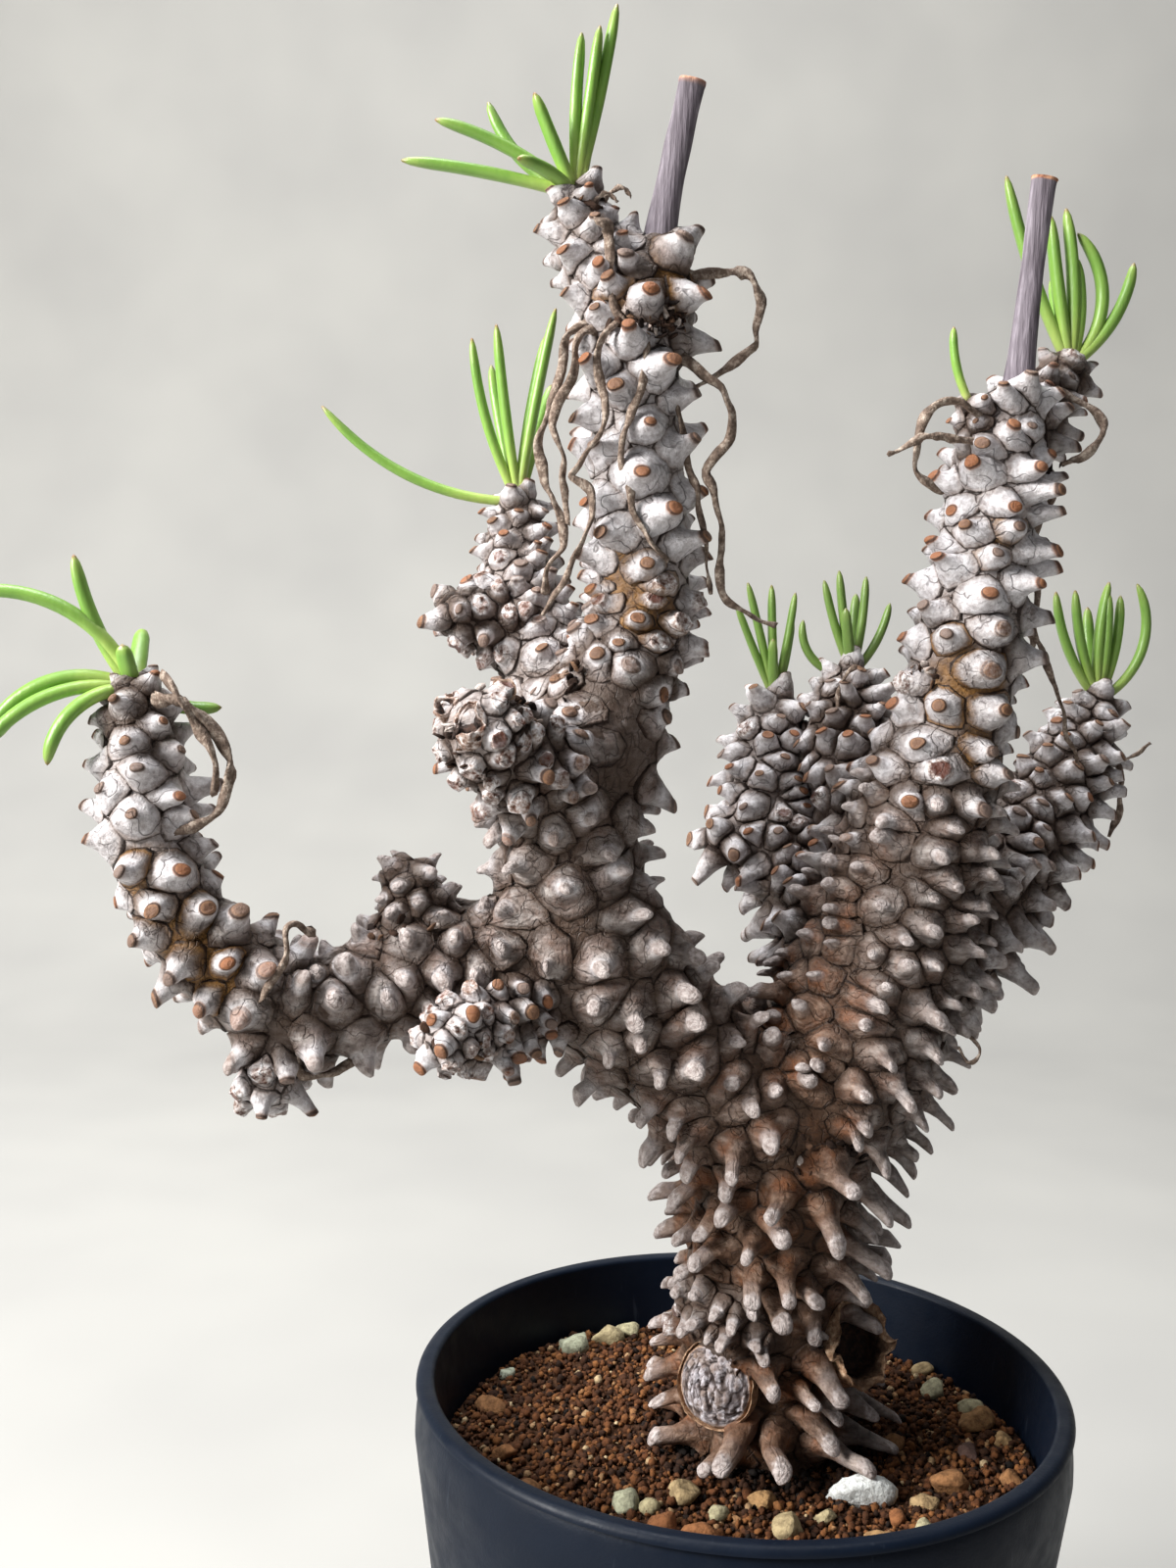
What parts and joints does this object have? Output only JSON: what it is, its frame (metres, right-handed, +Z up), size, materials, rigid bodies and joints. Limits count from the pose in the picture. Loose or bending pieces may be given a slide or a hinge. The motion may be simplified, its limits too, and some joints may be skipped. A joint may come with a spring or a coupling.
{
  "type": "potted tylecodon",
  "caption": "Branching succulent stem covered in pegs, with tufts of finger-like leaves and cut flower stalks, in a round dark pot of clay granules.",
  "frame": {"origin": "middle of the pot's flat underside", "axes": "+Z up, +X to the right and -Y towards the viewer as pictured"},
  "size_m": [0.1925, 0.105, 0.3055],
  "materials": {
    "pot": "matt navy black",
    "soil": "dry clay granules",
    "stem": "waxy grey-brown skin",
    "leaf": "satin succulent leaf",
    "dry_stalk": "dry and rough"
  },
  "bodies": {
    "root": {"pot": "pot", "soil": "soil", "stem": "stem", "leaves_arm": "leaf", "leaves_spur": "leaf", "leaves_column": "leaf", "leaves_fork": "leaf", "leaves_bud": "leaf", "leaves_east": "leaf", "leaves_far": "leaf", "leaves_west": "leaf", "flower_stalk_left": "dry_stalk", "flower_stalk_right": "dry_stalk"}
  },
  "joints": []
}
